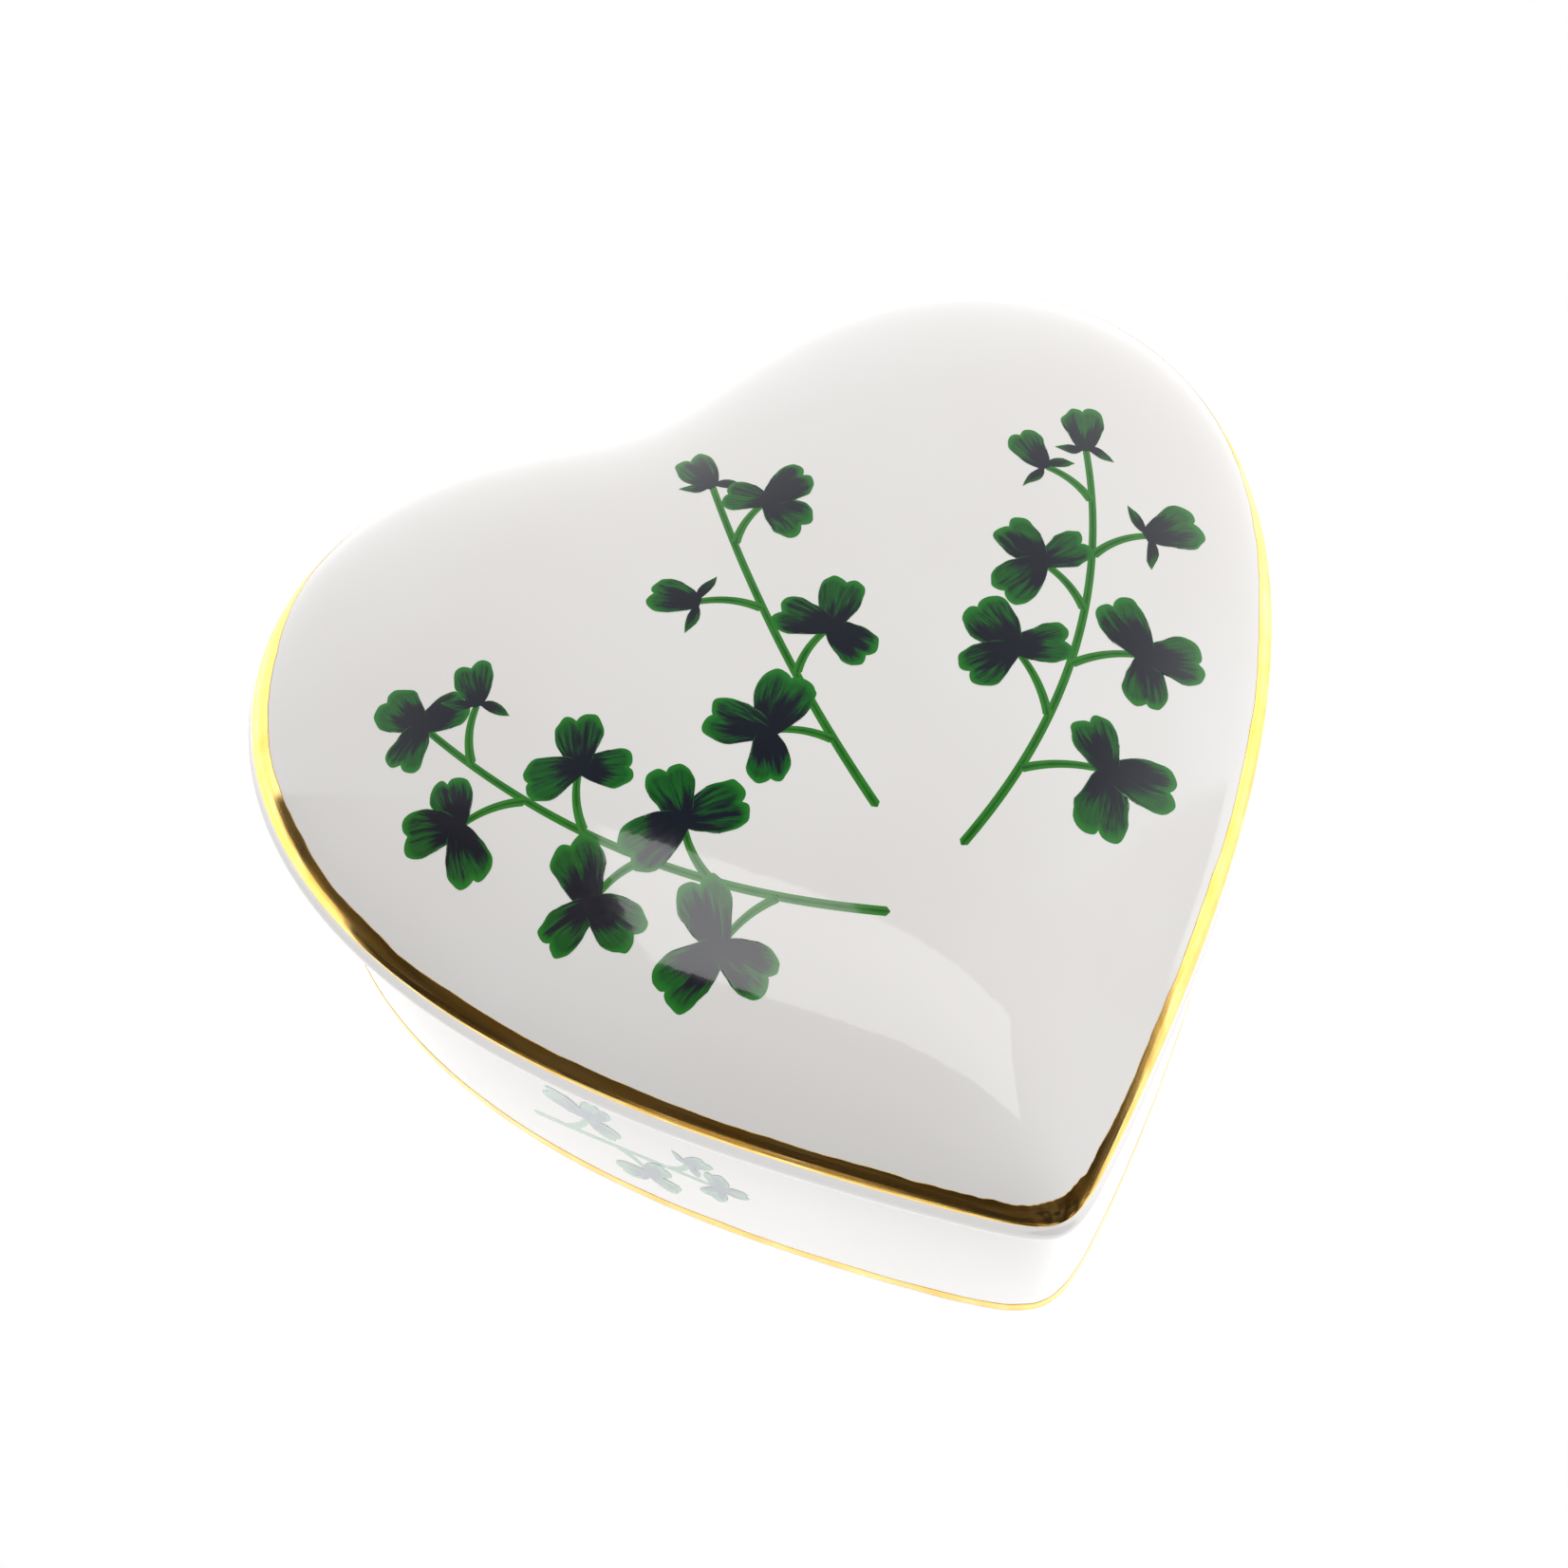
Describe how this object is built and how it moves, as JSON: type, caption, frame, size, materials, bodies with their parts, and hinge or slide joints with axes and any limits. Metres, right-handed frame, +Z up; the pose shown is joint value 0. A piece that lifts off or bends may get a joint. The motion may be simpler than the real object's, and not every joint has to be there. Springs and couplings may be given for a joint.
{
  "type": "trinket box",
  "caption": "Heart-shaped glazed porcelain trinket box with a lift-off domed lid, gilt edge lines and printed clover sprays.",
  "frame": {"origin": "middle of the heart's length and width, on the plane that the foot ring stands on", "axes": "+Z up, +X across the heart, -Y towards the heart's point, +Y towards its cleft"},
  "size_m": [0.0926, 0.0894, 0.041],
  "materials": {
    "tray_porcelain": "clear glaze over white porcelain, gloss",
    "lid_porcelain": "clear glaze over white porcelain, gloss",
    "foot_biscuit": "unglazed ground foot ring, matt",
    "gilt": "burnished fired-on gold line",
    "clover_print": "green and near-black transfer print under gloss"
  },
  "bodies": {
    "tray": {"tray": "tray_porcelain"},
    "lid": {"lid": "lid_porcelain"}
  },
  "joints": [
    {"name": "lid_lift", "type": "slide", "parent": "tray", "child": "lid", "axis": [0, 0, 1], "range_m": [0, 0.05]}
  ]
}
